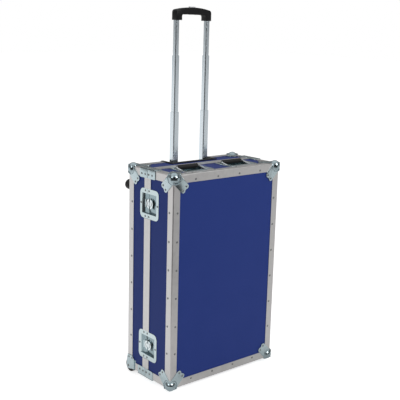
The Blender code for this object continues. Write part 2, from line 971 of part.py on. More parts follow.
def make_pull_handle_housing(top_panel, back_panel, edgings):
    """The moulded pocket in the top and back of the base, with a bezel over both faces."""
    half = pocket_width / 2
    bezel_half = half + bezel_side
    front = pocket_front - bezel_front
    seat_y = case_depth - panel_inset + seat_gap
    seat_z = case_height - panel_inset + seat_gap
    bottom = pocket_floor - bezel_bottom
    housing = box(
        "pull_handle_housing",
        (-bezel_half, front, bottom),
        (bezel_half, case_depth + bezel_proud, case_height + bezel_proud),
        black_plastic,
    )
    bevel(housing, bezel_proud, 2)
    wide = bezel_half + overrun
    cut(
        housing,
        box("housing_seat", (-wide, front - overrun, bottom - overrun), (wide, seat_y, seat_z)),
    )
    wall = half + pocket_wall
    join(
        housing,
        box(
            "housing_cup",
            (-wall, pocket_front - pocket_wall, pocket_floor - pocket_wall),
            (wall, seat_y + bite, seat_z + bite),
        ),
    )
    deep = case_depth + overrun
    cavity = box("housing_cavity", (-half, pocket_front, pocket_floor), (half, deep, case_height + overrun))
    bevel(cavity, bezel_corner, 3)
    cut(housing, cavity)
    hole = fixed_tube_size + 2 * seat_gap
    for side in (-1, 1):
        hole_cut = plate(
            f"housing_tube_hole_{side}",
            [rounded(hole, hole, tube_round + 2 * seat_gap, 3)],
            4 * pocket_wall,
            (side * tube_spacing / 2, tube_y, pocket_floor),
            in_top,
        )
        cut(housing, hole_cut)
    clear = wall + seat_gap
    cup_front = pocket_front - pocket_wall - seat_gap
    cup_floor = pocket_floor - pocket_wall - seat_gap
    high = case_height + overrun
    cut(top_panel, box("top_panel_notch", (-clear, cup_front, cup_floor), (clear, deep, high)))
    cut(back_panel, box("back_panel_notch", (-clear, cup_front, cup_floor), (clear, deep, high)))
    bezel_clear = bezel_half + seat_gap
    for edging in edgings:
        cut(
            edging,
            box(
                f"{edging.name}_notch",
                (-bezel_clear, front - seat_gap, bottom - seat_gap),
                (bezel_clear, deep, high),
            ),
        )
    return housing


def make_pull_handle_tubes():
    """Two fixed tubes on a foot plate, and three drawn stages of two tubes each."""
    fixed_top = tube_rest - seat_gap
    fixed_foot = fixed_top - fixed_tube_length
    reach = tube_spacing / 2 + fixed_tube_size / 2 + foot_plate_margin
    back = case_depth - panel_inner - seat_gap
    foot_front = tube_y - fixed_tube_size / 2 - foot_plate_thickness
    fixed = box(
        "fixed_tubes",
        (-reach, foot_front, fixed_foot - foot_plate_thickness),
        (reach, back, fixed_foot + bite),
        steel,
    )
    upstand = fixed_tube_size + foot_plate_thickness
    join(
        fixed,
        box(
            "foot_upstand",
            (-reach + bite, tube_y + fixed_tube_size / 2 - bite, fixed_foot - bite),
            (reach - bite, back - bite / 2, fixed_foot + upstand),
        ),
    )
    for side, sign in (("left", -1), ("right", 1)):
        x = sign * tube_spacing / 2
        join(fixed, square_tube(f"fixed_tube_{side}", fixed_tube_size, fixed_tube_length, x, fixed_top, None))
        square_tube(
            f"outer_tube_{side}", outer_tube_size, outer_travel + tube_overlap, x, outer_tip, polished
        )
        square_tube(
            f"middle_tube_{side}", middle_tube_size, middle_travel + tube_overlap, x, middle_tip, polished
        )
        square_tube(
            f"grip_tube_{side}",
            grip_tube_size,
            grip_travel + tube_overlap + grip_socket,
            x,
            grip_foot + grip_socket,
            polished,
        )


def grip_outline():
    """The grip from the front: two legs, a crowned top and an arched underside with finger ripples."""
    half = grip_width / 2
    inner = half - grip_leg
    top = grip_height - grip_crown
    crown = [
        (
            (half - grip_shoulder) * cos(pi * step / 12),
            top + grip_crown * (1 - cos(pi * step / 12) ** 2),
        )
        for step in range(1, 12)
    ]
    outline = [(inner, 0), (half, 0)]
    outline += arc((half - grip_shoulder, top - grip_shoulder), grip_shoulder, 0, pi / 2, 4)
    outline += crown
    outline += arc((grip_shoulder - half, top - grip_shoulder), grip_shoulder, pi / 2, pi, 4)
    outline += [(-half, 0), (-inner, 0)]
    fillet = grip_round
    outline += arc((fillet - inner, grip_arch - fillet), fillet, pi, pi / 2, 3)
    steps = 6 * finger_count
    run = 2 * (inner - fillet)
    for step in range(1, steps):
        share = step / steps
        ripple = finger_ripple * (1 - cos(2 * pi * finger_count * share)) / 2
        outline.append((fillet - inner + run * share, grip_arch + ripple))
    outline += arc((inner - fillet, grip_arch - fillet), fillet, pi / 2, 0, 3)
    return outline


def make_pull_grip():
    """The moulded grip over the two grip tubes, with the release button in its top."""
    foot = grip_foot
    grip = plate("pull_grip", [grip_outline()], grip_thickness, (0, tube_y, foot), in_front, black_plastic)
    bevel(grip, grip_round, 2, 60)
    socket = grip_tube_size + 2 * seat_gap
    deep = grip_socket + seat_gap
    for side in (-1, 1):
        hole = plate(
            f"grip_socket_{side}",
            [rounded(socket, socket, tube_round + seat_gap, 3)],
            2 * deep,
            (side * tube_spacing / 2, tube_y, foot),
            in_top,
        )
        cut(grip, hole)
    crown = foot + grip_height
    floor = crown + button_proud - button_height - button_travel - seat_gap
    clear = running_gap
    pocket_size = (button_length + 2 * clear, button_width + 2 * clear)
    pocket = plate(
        "button_pocket",
        [rounded(*pocket_size, button_corner + clear, 3)],
        2 * (crown - floor),
        (0, tube_y, crown),
        in_top,
    )
    cut(grip, pocket)
    pivot_at(grip, (0, tube_y, foot))
    button = plate(
        "release_button",
        [rounded(button_length, button_width, button_corner, 3)],
        button_height,
        (0, tube_y, crown + button_proud - button_height / 2),
        in_top,
        grey_plastic,
    )
    bevel(button, button_edge, 2, 60)


def make_castor(name, side, cuts):
    """A castor corner: cup let into the cut-away corner, side plate over the hull, axle and wheel."""
    outer = side * half_width
    cup_outer = outer - side * cup_inset
    cup_inner = outer - side * castor_width
    front = case_depth - cup_front
    past = case_depth + overrun
    cup = box(
        f"castor_{name}", (cup_outer, front, seat_gap), (cup_inner, case_depth, cup_height), zinc
    )
    plate_y = case_depth - plate_front
    plate_x = outer + side * (seat_gap + plate_sheet / 2)
    join(
        cup,
        plate(
            f"castor_{name}_plate", [castor_plate_outline()], plate_sheet, (plate_x, 0, 0), in_side
        ),
        box(
            f"castor_{name}_cheek",
            (plate_x, plate_y + bite, seat_gap + bite),
            (cup_outer - side * bite, case_depth - bite, cup_height - bite),
        ),
    )
    wheel_outer = cup_outer - side * wheel_side_gap
    wheel_inner = wheel_outer - side * wheel_width
    room = castor_wall
    cut(
        cup,
        box(
            f"castor_{name}_room",
            (cup_outer - side * room, front + room, -overrun),
            (cup_inner + side * room, past, cup_height - room),
        ),
    )
    join(
        cup,
        rod(
            f"castor_{name}_axle",
            (cup_outer - side * room / 2, axle_y, axle_z),
            (cup_inner + side * room / 2, axle_y, axle_z),
            axle_radius,
            sides=16,
        ),
    )
    clear = seat_gap
    for number, target in enumerate(cuts):
        cut(
            target,
            box(
                f"castor_{name}_corner_{number}",
                (outer + side * overrun, front - clear, -overrun),
                (cup_inner - side * clear, past, cup_height + clear),
            ),
        )
    bore = axle_radius + seat_gap
    half = wheel_width / 2
    tread = wheel_round
    tread_middle = tread * bend_middle_share
    hub_face = half - wheel_round / 2
    profile = [
        (bore, hub_face),
        (tread_radius, hub_face),
        (tread_radius + wheel_round / 2, half),
        (wheel_radius - tread, half),
        (wheel_radius - tread_middle, half - tread_middle),
        (wheel_radius, half - tread),
        (wheel_radius, tread - half),
        (wheel_radius - tread_middle, tread_middle - half),
        (wheel_radius - tread, -half),
        (tread_radius + wheel_round / 2, -half),
        (tread_radius, -hub_face),
        (bore, -hub_face),
    ]
    middle = ((wheel_outer + wheel_inner) / 2, axle_y, axle_z)
    turned_ring(f"wheel_{name}", profile, middle, in_side, rubber, 28)


def castor_plate_outline():
    """The side plate: straight in front and below, cut off at the top front, round the axle behind."""
    front = case_depth - plate_front
    back = case_depth
    nose = arc((axle_y, axle_z), plate_nose, -pi * 0.62, pi * 0.08, 8)
    return [
        (front, plate_top - plate_corner - plate_sheet),
        (front, seat_gap),
        (front + plate_corner, 0),
        *nose,
        (back + plate_sheet, plate_top - plate_corner),
        (back - plate_sheet, plate_top - plate_sheet),
        (front + plate_corner, plate_top),
    ]


def make_feet():
    """Two rubber feet on the back near the top, and two under the front of the bottom."""
    for name, sign in (("left", -1), ("right", 1)):
        x = sign * (half_width - back_foot_inset)
        z = case_height - back_foot_from_top
        rod(
            f"back_foot_{name}",
            (x, case_depth + seat_gap, z),
            (x, case_depth + back_reach, z),
            back_foot_radius,
            rubber,
            24,
            back_foot_radius - foot_taper,
        )
        x = sign * (half_width - front_foot_inset)
        rod(
            f"front_foot_{name}",
            (x, front_foot_inset, panel_inset - seat_gap),
            (x, front_foot_inset, -ground_gap),
            front_foot_radius,
            rubber,
            20,
            front_foot_radius - foot_taper,
        )


for old in list(bpy.data.objects):
    bpy.data.objects.remove(old, do_unlink=True)

parts = bpy.data.collections.new("lighting_flight_case")
tools = bpy.data.collections.new("cutters")
bpy.context.scene.collection.children.link(parts)
bpy.context.scene.collection.children.link(tools)

ball_proud = ball_radius - ball_inset
hull = bpy.data.objects.new("hull_origin", None)
hull.location = (0, -(case_depth + back_reach - ball_proud) / 2, ground_gap)
parts.objects.link(hull)

laminate = material("blue_laminate", (0.027, 0.047, 0.171), 0.45)
aluminium = material("satin_aluminium", (0.50, 0.49, 0.48), 0.38, 1.0)
zinc = material("zinc_steel", (0.72, 0.78, 0.80), 0.25, 1.0)
chrome = material("chromed_steel", (0.78, 0.80, 0.82), 0.12, 1.0)
steel = material("plated_steel", (0.55, 0.56, 0.58), 0.40, 1.0)
polished = material("polished_tube", (0.62, 0.66, 0.72), 0.18, 1.0)
black_plastic = material("black_plastic", (0.012, 0.012, 0.014), 0.45)
grey_plastic = material("grey_plastic", (0.42, 0.43, 0.45), 0.50)
rubber = material("black_rubber", (0.015, 0.015, 0.016), 0.75)

lid = make_panels("lid", 0, 1)
base = make_panels("base", case_depth, -1)
lid_edging = edge_frame("lid_edging", 0, 1, seat_gap, aluminium)
base_edgings, bottom_stubs = make_base_edging()
closing = [make_closing_profile("lid", -1), make_closing_profile("base", 1)]
join(closing[1], bottom_stubs)

for side_name, side in (("left", -1), ("right", 1)):
    for end_name, end in (("bottom", -1), ("top", 1)):
        make_ball_corner(
            f"ball_corner_front_{side_name}_{end_name}", side, -1, end, (lid["front"], lid_edging)
        )
    own_edging = base_edgings[0 if side < 0 else 1]
    make_ball_corner(f"ball_corner_back_{side_name}_top", side, 1, 1, (base["back"], own_edging))
    make_castor(side_name, side, (base[side_name], base["bottom"], base["back"]))

for level, height in (("lower", latch_from_end), ("upper", case_height - latch_from_end)):
    make_latch(f"{level}_latch", height, lid["left"], base["left"], closing)
make_hinge(closing)

for side_name, side in (("left", -1), ("right", 1)):
    make_carrying_handle(f"{side_name}_handle", side * handle_spacing / 2, lid["top"])

make_pull_handle_housing(base["top"], base["back"], base_edgings[:2])
make_pull_handle_tubes()
make_pull_grip()
make_feet()
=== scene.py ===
# %% [markdown]
# # A lighting flight case with its pull handle drawn out
#
# The case stands on its short end: ten laminated panels held in aluminium angle, steel balls on six corners
# and castors on two, two recessed turn latches on the left, a long hinge on the right, two carrying handles
# on top, and a pull handle of three drawn stages at the back.
#
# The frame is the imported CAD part. Its pieces are where the real ones are and move as they do. Here they get
# their finishes, and small things such as rivets, screws and washers are modelled and ride on them.

# %% Load the frame
import json
from math import atan2, cos, pi, radians, sin, sqrt

import bmesh
import bpy
from mathutils import Matrix, Vector


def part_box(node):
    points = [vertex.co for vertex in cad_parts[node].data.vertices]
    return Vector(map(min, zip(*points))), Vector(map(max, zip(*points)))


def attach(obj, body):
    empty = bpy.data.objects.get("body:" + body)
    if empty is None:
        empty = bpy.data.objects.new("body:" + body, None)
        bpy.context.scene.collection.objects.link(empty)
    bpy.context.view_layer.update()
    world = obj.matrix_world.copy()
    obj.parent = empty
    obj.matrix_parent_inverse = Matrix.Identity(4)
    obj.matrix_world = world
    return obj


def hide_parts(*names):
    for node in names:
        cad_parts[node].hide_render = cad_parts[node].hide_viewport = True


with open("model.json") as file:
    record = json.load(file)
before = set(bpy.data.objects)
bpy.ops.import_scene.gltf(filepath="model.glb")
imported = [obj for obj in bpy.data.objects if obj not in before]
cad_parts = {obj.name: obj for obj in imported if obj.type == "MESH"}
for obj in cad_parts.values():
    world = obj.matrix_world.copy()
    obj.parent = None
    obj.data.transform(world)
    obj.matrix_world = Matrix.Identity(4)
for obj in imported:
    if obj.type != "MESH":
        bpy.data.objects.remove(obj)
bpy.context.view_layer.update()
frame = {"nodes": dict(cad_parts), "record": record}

# %% [markdown]
# ## The camera
#
# The picture was taken with a long lens from the front left, above the top of the case. The camera could be
# set by eye, but the case is a plain box, so its straight edges in the picture give the camera's place, its
# turn and its lens. A camera's own axes are the columns of its matrix: to the right, up, and back towards
# whoever looks through it.

# %% Camera
camera_place = Vector((-1.8920, -2.2116, 1.3037))
to_right = Vector((0.76573, -0.64262, 0.02630))
to_down = Vector((-0.11736, -0.17982, -0.97667))
to_front = Vector((0.63236, 0.74478, -0.21312))
picture_width = 400
focal_pixels = 787
sensor_width = 36

lens = bpy.data.cameras.new("camera")
lens.sensor_width = sensor_width
lens.lens = focal_pixels / picture_width * sensor_width
camera = bpy.data.objects.new("camera", lens)
camera.matrix_world = (
    Matrix.Translation(camera_place) @ Matrix((to_right, -to_down, -to_front)).transposed().to_4x4()
)
bpy.context.scene.collection.objects.link(camera)
bpy.context.scene.camera = camera
print("The lens is", round(lens.lens, 1), "mm on a sensor of", sensor_width, "mm.")

# %% [markdown]
# ## Building with nodes
#
# A material or a sky is a tree of nodes. It could be drawn by hand in the shader editor. Here a few helpers
# build it, so that each finish reads like a recipe and comes out the same every time.

# %% Shader helpers
def empty_tree(owner):
    """The node tree of a material or a world, without the nodes that it starts with."""
    owner.use_nodes = True
    owner.node_tree.nodes.clear()
    return owner.node_tree


def add_node(tree, kind, inputs=None, **settings):
    """A shader node with its settings, its constants, and its links from other nodes' outputs."""
    node = tree.nodes.new(kind)
    for name, value in settings.items():
        setattr(node, name, value)
    for socket, value in (inputs or {}).items():
        if isinstance(value, bpy.types.NodeSocket):
            tree.links.new(value, node.inputs[socket])
        else:
            node.inputs[socket].default_value = value
    return node


def calculate(tree, operation, first, second):
    return add_node(tree, "ShaderNodeMath", {0: first, 1: second}, operation=operation).outputs[0]


def with_vectors(tree, operation, *vectors):
    return add_node(tree, "ShaderNodeVectorMath", dict(enumerate(vectors)), operation=operation)


def ramp(tree, value, start, end, low, high):
    """Low up to the start, high from the end, and a soft step between them."""
    return add_node(
        tree,
        "ShaderNodeMapRange",
        {"Value": value, "From Min": start, "From Max": end, "To Min": low, "To Max": high},
        interpolation_type="SMOOTHSTEP",
    ).outputs[0]


print("Five helpers build the node trees.")

# %% [markdown]
# ## The room that bright metal mirrors
#
# What bright metal shows is the room round it. To judge by the picture, the left faces mirror a white screen
# and the front faces a greyer one, and the edges that turn to the camera go dark, as if that side of the
# studio was dark. Real screens could stand round the case, but they would throw light and shadows too. So a
# function says how bright the room is in each level direction, and only rays from mirrors see it.

# %% The mirrored room
left_screen, right_screen, camera_side = 1.0, 0.72, 0.08
screens_blend = 0.6
dark_starts, dark_full = 0.15, 0.60
towards_camera = Vector((camera_place.x, camera_place.y, 0)).normalized()
towards_left = Vector((towards_camera.y, -towards_camera.x, 0))


def room_in_mirrors(tree, direction, far=None):
    """How bright the room is in a direction. A far value of 0 leaves the dark side out."""
    level = with_vectors(tree, "MULTIPLY", direction, (1, 1, 0)).outputs[0]
    level = with_vectors(tree, "NORMALIZE", level).outputs[0]
    to_left = with_vectors(tree, "DOT_PRODUCT", level, towards_left).outputs["Value"]
    to_camera = with_vectors(tree, "DOT_PRODUCT", level, towards_camera).outputs["Value"]
    screen = ramp(tree, to_left, -screens_blend, screens_blend, right_screen, left_screen)
    darkness = ramp(tree, to_camera, dark_starts, dark_full, 0, 1 - camera_side)
    if far:
        darkness = calculate(tree, "MULTIPLY", darkness, far)
    return calculate(tree, "MULTIPLY", screen, calculate(tree, "SUBTRACT", 1, darkness))


print("The room is", left_screen, "bright on the left and", camera_side, "at the camera.")

# %% [markdown]
# ## The floor
#
# The case was cut out on pure white. A pale floor gives it something to stand on and keeps its shadow. Bare
# paper would come out grey, so it also glows a little, for the camera alone, which lights nothing. Mirrors
# see the room on it instead, without the dark side near the case, and a painted shadow makes it a little
# dimmer under the case.

# %% Floor
floor_size = 60
paper = 0.86
floor_glow = 0.66
near_floor, far_floor = 0.6, 1.6
full_shadow_within, shadow_fades_out_at, shadowed_brightness = 0.25, 0.60, 0.72

floor_mesh = bmesh.new()
bmesh.ops.create_grid(floor_mesh, x_segments=1, y_segments=1, size=floor_size / 2)
floor_data = bpy.data.meshes.new("floor")
floor_mesh.to_mesh(floor_data)
floor_mesh.free()
floor = bpy.data.objects.new("floor", floor_data)
bpy.context.scene.collection.objects.link(floor)

white_paper = bpy.data.materials.new("white_paper")
tree = empty_tree(white_paper)
path = add_node(tree, "ShaderNodeLightPath")
sheet = add_node(tree, "ShaderNodeBsdfDiffuse", {"Color": (paper, paper, paper, 1)})
glow_strength = calculate(tree, "MULTIPLY", path.outputs["Is Camera Ray"], floor_glow)
glow = add_node(tree, "ShaderNodeEmission", {"Strength": glow_strength})
lit = add_node(tree, "ShaderNodeAddShader", {0: sheet.outputs[0], 1: glow.outputs[0]})
spot = add_node(tree, "ShaderNodeTexCoord").outputs["Object"]
away = with_vectors(tree, "LENGTH", spot).outputs["Value"]
far = ramp(tree, away, near_floor, far_floor, 0, 1)
# Painted shadow: mirrors see the floor a little dimmer under the case.
painted_case_shadow = ramp(tree, away, full_shadow_within, shadow_fades_out_at, shadowed_brightness, 1)
mirrored_floor = calculate(tree, "MULTIPLY", room_in_mirrors(tree, spot, far), painted_case_shadow)
mirrored = add_node(tree, "ShaderNodeEmission", {"Strength": mirrored_floor})
surface = add_node(
    tree,
    "ShaderNodeMixShader",
    {0: path.outputs["Is Glossy Ray"], 1: lit.outputs[0], 2: mirrored.outputs[0]},
)
add_node(tree, "ShaderNodeOutputMaterial", {"Surface": surface.outputs[0]})
floor_data.materials.append(white_paper)
print("The floor is", floor_size, "m wide.")

# %% [markdown]
# ## The white studio
#
# The world is three things at once. To the camera it is plain white, to matt surfaces an even light from all
# round, and to mirrors the walls of the room with a bright ceiling above them. A light path node tells which
# kind of ray is asking.

# %% World
world_light = 0.50
low_wall, ceiling = 0.30, 0.95
wall_top, ceiling_starts = 0.45, 0.80
pure_white = (1, 1, 1, 1)


def background(tree, strength):
    return add_node(tree, "ShaderNodeBackground", {"Color": pure_white, "Strength": strength}).outputs[0]


world = bpy.data.worlds.new("white_studio")
bpy.context.scene.world = world
tree = empty_tree(world)
path = add_node(tree, "ShaderNodeLightPath")
direction = add_node(tree, "ShaderNodeTexCoord").outputs["Generated"]
height = add_node(tree, "ShaderNodeSeparateXYZ", {0: direction}).outputs[2]
wall = calculate(tree, "MULTIPLY", room_in_mirrors(tree, direction), low_wall)
wall_share = ramp(tree, height, wall_top, ceiling_starts, 1, 0)
above = ramp(tree, height, wall_top, ceiling_starts, 0, ceiling)
room = calculate(tree, "ADD", calculate(tree, "MULTIPLY", wall, wall_share), above)
seen = calculate(tree, "MAXIMUM", path.outputs["Is Camera Ray"], path.outputs["Is Transmission Ray"])
to_mirrors = add_node(
    tree,
    "ShaderNodeMixShader",
    {0: path.outputs["Is Glossy Ray"], 1: background(tree, world_light), 2: background(tree, room)},
)
to_all = add_node(
    tree, "ShaderNodeMixShader", {0: seen, 1: to_mirrors.outputs[0], 2: background(tree, 1)}
)
add_node(tree, "ShaderNodeOutputWorld", {"Surface": to_all.outputs[0]})
print("The world lights at", world_light)

# %% [markdown]
# ## Lamps
#
# A large soft lamp in front lifts the front faces, and a weaker one on the left lifts that side. They could
# be small and hard, but a large lamp keeps shadows soft. The standard view shows colours as they are mixed.

# %% Lamps
case_middle = Vector((0, 0, 0.45))


def soft_lamp(name, place, size, power):
    data = bpy.data.lights.new(name, "AREA")
    data.size = size
    data.energy = power
    lamp = bpy.data.objects.new(name, data)
    lamp.location = place
    lamp.rotation_euler = (case_middle - Vector(place)).to_track_quat("-Z", "Y").to_euler()
    bpy.context.scene.collection.objects.link(lamp)


soft_lamp("key_lamp", place=(0.6, -3.2, 2.6), size=1.8, power=62)
soft_lamp("side_lamp", place=(-3.2, -0.4, 2.2), size=1.6, power=18)
bpy.context.scene.view_settings.view_transform = "Standard"
print("Two lamps are in place.")

# %% [markdown]
# ## Finishes
#
# No finish is quite even: metal is rubbed, plating is cloudy and moulded plastic has a grain. A picture could
# be laid on each piece, but it would need seams. So a finish here is one Principled shader whose colour,
# roughness and relief come from noise in the piece's own coordinates, and nothing slides when it moves.

# %% A maker of finishes
evenly = (1, 1, 1)
noise_low, noise_high = 0.3, 0.7


def noise(tree, scale, stretch=evenly, detail=3.0):
    place = add_node(tree, "ShaderNodeTexCoord").outputs["Object"]
    place = add_node(tree, "ShaderNodeMapping", {"Vector": place, "Scale": stretch}).outputs[0]
    return add_node(
        tree, "ShaderNodeTexNoise", {"Vector": place, "Scale": scale, "Detail": detail}
    ).outputs["Fac"]


def spread(tree, value, low, high):
    """Carries the range in which noise mostly lies to another range."""
    ends = {"From Min": noise_low, "From Max": noise_high, "To Min": low, "To Max": high}
    return add_node(tree, "ShaderNodeMapRange", {"Value": value, **ends}).outputs[0]


def blend_colours(tree, share, first, second):
    mixed = add_node(tree, "ShaderNodeMix", data_type="RGBA")
    for socket, value in (("Factor_Float", share), ("A_Color", first), ("B_Color", second)):
        target = next(s for s in mixed.inputs if s.identifier == socket)
        if isinstance(value, bpy.types.NodeSocket):
            tree.links.new(value, target)
        else:
            target.default_value = value
    return next(s for s in mixed.outputs if s.identifier == "Result_Color")


def relief(tree, height, depth):
    return add_node(tree, "ShaderNodeBump", {"Height": height, "Distance": depth, "Strength": 1.0}).outputs[0]


def new_finish(name, flat_colour):
    """A material with an empty tree. The flat colour is for views that show no nodes."""
    made = bpy.data.materials.new(name)
    made.diffuse_color = (*flat_colour, 1)
    return made, empty_tree(made)


def end_in_shader(tree, inputs):
    shader = add_node(tree, "ShaderNodeBsdfPrincipled", inputs)
    add_node(tree, "ShaderNodeOutputMaterial", {"Surface": shader.outputs[0]})


def shade(
    name, colour, roughness, grain, depth, metallic=1.0, stretch=evenly, swing=0.06, tone=0.1, shine=0.5
):
    """An uneven finish: the same noise shifts its tone, swings its roughness and gives it depth."""
    made, tree = new_finish(name, colour)
    rough = noise(tree, grain, stretch)
    dark = tuple(c * (1 - tone) for c in colour) + (1,)
    light = tuple(min(1, c * (1 + tone)) for c in colour) + (1,)
    inputs = {
        "Base Color": blend_colours(tree, spread(tree, rough, 0, 1), dark, light),
        "Roughness": spread(tree, rough, roughness - swing, roughness + swing),
        "Metallic": metallic,
        "Normal": relief(tree, rough, depth),
        "Specular IOR Level": shine,
    }
    end_in_shader(tree, inputs)
    return made


print("A finish can be mixed from a colour, a roughness and a grain.")

# %% [markdown]
# ## Metals
#
# The angle is satin aluminium with a soft sheen. Corners, latches and handle dishes are zinc-plated steel, a
# little cooler in colour and smoother. One steel could do for all of them, but the balls mirror the room
# sharply and get a darker zinc, painted shade for their dark reflections, and the wings and hubs a lighter
# one, a painted highlight, so each has its own. The tubes are drawn, so their noise is stretched along them.

# %% Metals
angle_metal = shade(
    "satin_angle", (0.645, 0.635, 0.63), 0.38, grain=60, depth=0.00002, swing=0.05, tone=0.05
)
zinc = shade("bright_zinc", (0.50, 0.60, 0.63), 0.20, grain=90, depth=0.00004, swing=0.05, tone=0.06)
# The balls' zinc is darker than the plain zinc: painted shade for their dark reflections.
ball_zinc_painted_dark = shade(
    "zinc_on_balls_painted_dark", (0.36, 0.44, 0.47), 0.13, grain=90, depth=0.00002, swing=0.03, tone=0.06
)
# The wings' and hubs' zinc is lighter than the plain zinc: a painted highlight.
zinc_with_painted_highlight = shade(
    "zinc_with_painted_highlight", (0.78, 0.85, 0.87), 0.18, grain=90, depth=0.00003, swing=0.04, tone=0.05
)
plated_wire = shade(
    "plated_wire", (0.60, 0.63, 0.65), 0.14, grain=60, depth=0.00001, swing=0.03, tone=0.04
)
along_tube = (1, 1, 0.02)
drawn_tube = shade(
    "drawn_tube",
    (0.71, 0.78, 0.83),
    0.22,
    grain=400,
    depth=0.00001,
    stretch=along_tube,
    swing=0.05,
    tone=0.06,
)
bracket_steel = shade("bracket_steel", (0.55, 0.56, 0.58), 0.42, grain=70, depth=0.00003)
blackened_steel = shade("blackened_steel", (0.030, 0.031, 0.033), 0.40, grain=200, depth=0.00001)
# Rivet steel is darker than bare steel: painted shade for the dark ring round each head.
rivet_steel_painted_dark = shade("rivet_steel_painted_dark", (0.24, 0.25, 0.25), 0.35, grain=200, depth=0.00001, swing=0.05)
print("Nine metals are mixed.")

# %% [markdown]
# ## Plastics and rubbers
#
# The grip and the housing are black plastic, the button and the wheel hubs grey plastic, and the feet, the
# handle grips and the tyres rubber. They could all be one black, but rubber is rougher than plastic, and the
# eye tells them apart by that. No black is zero, or it would look like a hole.

# %% Plastics and rubbers
moulded_black = shade(
    "moulded_black",
    (0.004, 0.004, 0.005),
    0.42,
    grain=900,
    depth=0.00004,
    metallic=0.0,
    swing=0.05,
    tone=0.2,
    shine=0.22,
)
moulded_grey = shade(
    "moulded_grey",
    (0.60, 0.61, 0.63),
    0.5,
    grain=900,
    depth=0.00003,
    metallic=0.0,
    swing=0.05,
    tone=0.04,
)
soft_rubber = shade(
    "soft_rubber",
    (0.011, 0.010, 0.010),
    0.62,
    grain=500,
    depth=0.00005,
    metallic=0.0,
    tone=0.2,
    shine=0.3,
)
tyre_rubber = shade(
    "tyre_rubber", (0.016, 0.016, 0.017), 0.72, grain=300, depth=0.00008, metallic=0.0, tone=0.25
)
print("Two plastics and two rubbers are mixed.")

# %% [markdown]
# ## Laminate on plywood
#
# A laminated panel is blue only outside. Inside the case it is bare birch. The faces could be told apart one
# by one, but the panels are CAD pieces and stay as they are. So one finish holds both: it asks whether a
# point lies within the box of the inner faces. The laminate has a very fine grain that breaks up its
# reflections, and the birch has a long soft figure along the panel.

# %% The panel finish
case_low, lid_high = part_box("lid_edging")
case_high = Vector((lid_high.x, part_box("base_left_edging")[1].y, lid_high.z))
inner_skin = 0.0107
inner_low = case_low + Vector((inner_skin,) * 3)
inner_high = case_high - Vector((inner_skin,) * 3)
flat_blue = (0.027, 0.047, 0.171)
deep_blue, pale_blue = (0.012, 0.029, 0.160, 1), (0.018, 0.041, 0.205, 1)
cloud_blue = (0.020, 0.040, 0.200, 1)
dark_birch, pale_birch = (0.58, 0.40, 0.23, 1), (0.70, 0.53, 0.34, 1)
cloud_share = 0.25
laminate_grain, cloud_grain, birch_grain = 1400, 9, 26
along_panel = (1, 1, 0.09)


def within_case(tree):
    """1 within the box of the inner faces, else 0."""
    place = add_node(tree, "ShaderNodeTexCoord").outputs["Object"]
    split = add_node(tree, "ShaderNodeSeparateXYZ", {0: place})
    inside = 1
    for axis in range(3):
        above = calculate(tree, "GREATER_THAN", split.outputs[axis], inner_low[axis])
        below = calculate(tree, "LESS_THAN", split.outputs[axis], inner_high[axis])
        inside = calculate(tree, "MULTIPLY", inside, calculate(tree, "MULTIPLY", above, below))
    return inside


def panel_finish():
    made, tree = new_finish("blue_laminate_on_birch", flat_blue)
    grain = noise(tree, laminate_grain, detail=2.0)
    cloud = noise(tree, cloud_grain, detail=2.0)
    figure = noise(tree, birch_grain, along_panel, detail=5.0)
    blue = blend_colours(tree, spread(tree, grain, 0, 1), deep_blue, pale_blue)
    blue = blend_colours(tree, spread(tree, cloud, 0, cloud_share), blue, cloud_blue)
    birch = blend_colours(tree, spread(tree, figure, 0, 1), dark_birch, pale_birch)
    inputs = {
        "Base Color": blend_colours(tree, within_case(tree), blue, birch),
        "Roughness": spread(tree, grain, low=0.40, high=0.52),
        "Specular IOR Level": 0.14,
        "Normal": relief(tree, grain, depth=0.00003),
    }
    end_in_shader(tree, inputs)
    return made


laminate = panel_finish()
print("The inside of the case is", [round(v, 3) for v in inner_high - inner_low], "m.")

# %% [markdown]
# ## Painted shade in a dish
#
# The dishes of latches and handles are sunk into the case, and shade falls in them. So the zinc within is
# painted darker with depth, as painted shade, while the rim stays bright. Two pieces could carry two finishes,
# but a real dish is one pressing, so the colour fades with the depth below the left side or the top.

# %% The dish finish, with painted shade
bright_rim, painted_shade_within = (0.58, 0.68, 0.70), (0.30, 0.39, 0.42)
shade_start_depth, full_shade_depth = 0.0015, 0.0045
plating_grain = 90


def dish_finish_with_painted_shade():
    made, tree = new_finish("zinc_with_painted_dish_shade", bright_rim)
    place = add_node(tree, "ShaderNodeTexCoord").outputs["Object"]
    split = add_node(tree, "ShaderNodeSeparateXYZ", {0: place})
    from_side = calculate(tree, "SUBTRACT", split.outputs[0], case_low.x)
    from_top = calculate(tree, "SUBTRACT", case_high.z, split.outputs[2])
    # Painted shade: the colour darkens with the depth below the left side or the top.
    deep = ramp(tree, calculate(tree, "MINIMUM", from_side, from_top), shade_start_depth, full_shade_depth, 0, 1)
    grain = noise(tree, plating_grain)
    inputs = {
        "Base Color": blend_colours(tree, deep, (*bright_rim, 1), (*painted_shade_within, 1)),
        "Roughness": spread(tree, grain, low=0.17, high=0.25),
        "Metallic": 1.0,
        "Normal": relief(tree, grain, depth=0.00004),
    }
    end_in_shader(tree, inputs)
    return made


zinc_with_painted_shade = dish_finish_with_painted_shade()
print("A dish is in full painted shade", full_shade_depth, "m below the face of the case.")

# %% [markdown]
# ## Dressing the frame
#
# Each CAD piece keeps its shape and gets the finish that its name calls for. Sixty lines could say it piece
# by piece, but a table of words is shorter. The first word that fits wins, so the odd ones come first, and
# whatever is left is zinc.

